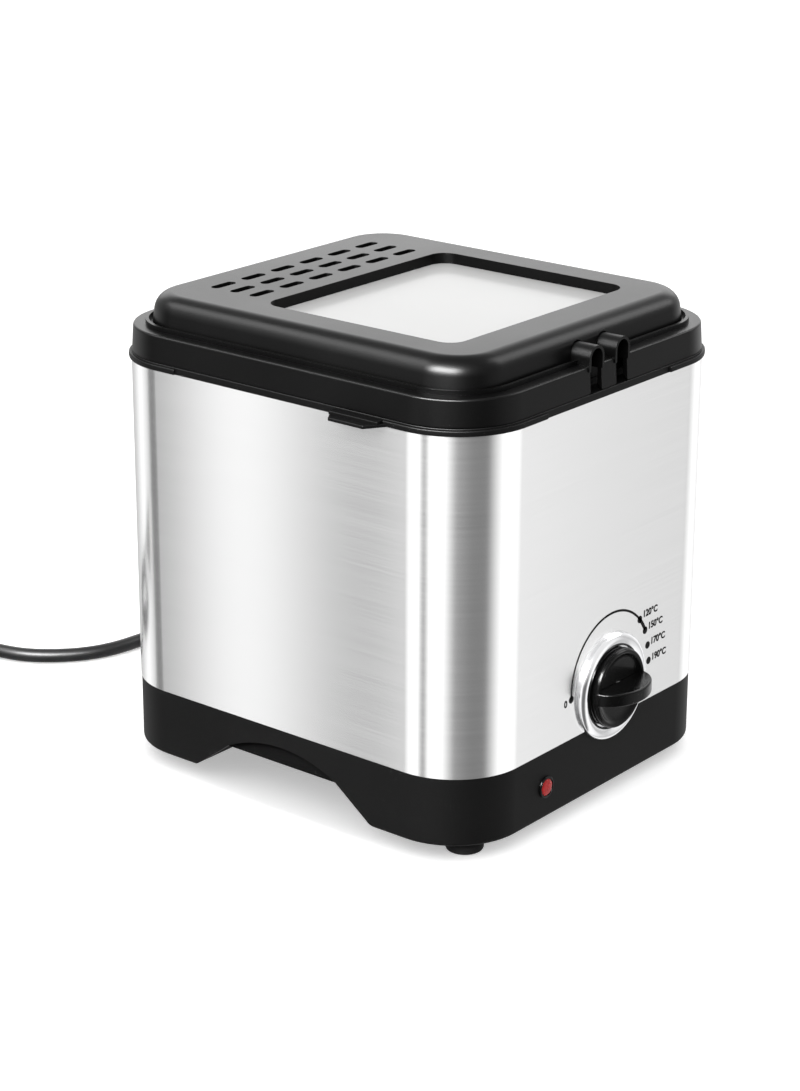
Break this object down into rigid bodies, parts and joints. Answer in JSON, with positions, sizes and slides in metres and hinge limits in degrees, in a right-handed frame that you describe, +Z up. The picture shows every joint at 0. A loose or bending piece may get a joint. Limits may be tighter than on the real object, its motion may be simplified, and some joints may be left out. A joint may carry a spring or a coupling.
{
  "type": "deep fryer",
  "caption": "Compact electric deep fryer: brushed steel wrap on an arched black base, black lift-off lid with window and vents, front dial, basket with folding handle, cord.",
  "frame": {"origin": "on the table, under the middle of the fryer's box without its cord", "axes": "+Z up, -Y towards the dial (front), +X to the right seen from the front"},
  "size_m": [0.3105, 0.4613, 0.218],
  "materials": {
    "black_plastic": "satin moulded black",
    "black_rubber": "matt black",
    "seal_rubber": "matt black silicone",
    "steel_wrap": "horizontally brushed stainless",
    "steel_plain": "plain stainless and zinc-plated steel",
    "cast_plate": "cast aluminium",
    "copper_parts": "copper bulb and capillary",
    "dark_resin": "moulded resin",
    "chrome_ring": "polished chrome",
    "gloss_black": "glossy black",
    "red_lens": "clear red lens",
    "wire_sleeves": "heat-proof sleeving",
    "window_white": "frosted near-white window",
    "filter_mesh": "grey filter pad",
    "pin_metal": "nickel-plated"
  },
  "bodies": {
    "fryer_body": {"base_tray": "black_plastic", "feet": "black_rubber", "tie_screws": "steel_plain", "housing": "steel_wrap", "collar": "black_plastic", "inner_pot": "steel_plain", "heater_plate": "cast_plate", "heating_element": "steel_plain", "heat_shield": "steel_plain", "centre_stud": "steel_plain", "stud_nut": "steel_plain", "thermal_cutout": "dark_resin", "thermostat_bracket": "steel_plain", "thermostat_body": "dark_resin", "bezel_nut": "steel_plain", "sensor_bulb": "copper_parts", "bezel_ring": "chrome_ring", "pilot_lamp": "gloss_black", "pilot_lens": "red_lens", "terminal_block": "dark_resin", "internal_wires": "wire_sleeves", "cord_gland": "black_rubber", "power_cord": "black_rubber", "cord_coil": "black_rubber", "coil_tie": "black_rubber", "mains_plug": "black_rubber", "plug_pins": "pin_metal"},
    "lid": {"lid_frame": "black_plastic", "lid_seal": "seal_rubber", "lid_cover": "black_plastic", "window_pane": "window_white", "window_seal": "seal_rubber", "lid_liner": "black_plastic", "grease_filter": "filter_mesh", "lid_screws": "steel_plain"},
    "basket": {"basket": "steel_plain", "basket_rim": "steel_plain", "front_hook": "steel_plain", "rear_hook": "steel_plain"},
    "handle": {"handle_wires": "steel_plain", "handle_grip": "gloss_black"},
    "dial": {"knob": "gloss_black", "thermostat_shaft": "steel_plain"}
  },
  "joints": [
    {"name": "lid_lift", "type": "slide", "parent": "fryer_body", "child": "lid", "axis": [0, 0, 1], "range_m": [0, 0.42]},
    {"name": "basket_lift", "type": "slide", "parent": "fryer_body", "child": "basket", "axis": [0, 0, 1], "range_m": [0, 0.12]},
    {"name": "handle_fold", "type": "hinge", "parent": "basket", "child": "handle", "pos_m": [0, -0.06385, 0.18625], "axis": [1, 0, 0], "range_deg": [0, 150]},
    {"name": "dial_turn", "type": "hinge", "parent": "fryer_body", "child": "dial", "pos_m": [0.0069, -0.1, 0.0542], "axis": [0, 1, 0], "range_deg": [0, 172]}
  ],
  "couplings": [
    {"joint": "basket_lift", "follows": "lid_lift", "ratio": 0.28},
    {"joint": "handle_fold", "follows": "lid_lift", "rad_per_m": 6.2}
  ]
}
